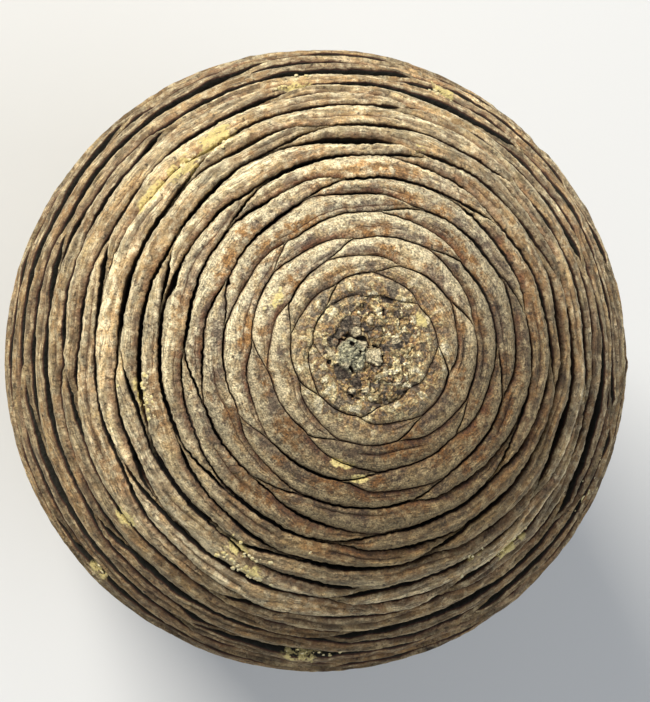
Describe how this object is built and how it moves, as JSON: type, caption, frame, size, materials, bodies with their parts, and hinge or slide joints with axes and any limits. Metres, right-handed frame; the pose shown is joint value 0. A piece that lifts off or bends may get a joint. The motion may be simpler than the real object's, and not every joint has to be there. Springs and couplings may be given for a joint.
{
  "type": "cedar cone",
  "caption": "Closed, weathered cedar cone: a barrel with a domed tip, wrapped in broad thin scales in a spiral, standing upright on its cut stalk.",
  "frame": {"origin": "centre of the cut stalk's flat end, which the cone stands on", "axes": "+Z along the cone's own axis, from the cut stalk to the tip; +X and +Y are free, because the cone is round"},
  "size_m": [0.06, 0.06, 0.076],
  "materials": {
    "scales": "dry, matte, weathered grey brown"
  },
  "bodies": {
    "root": {"cone": "scales"}
  },
  "joints": []
}
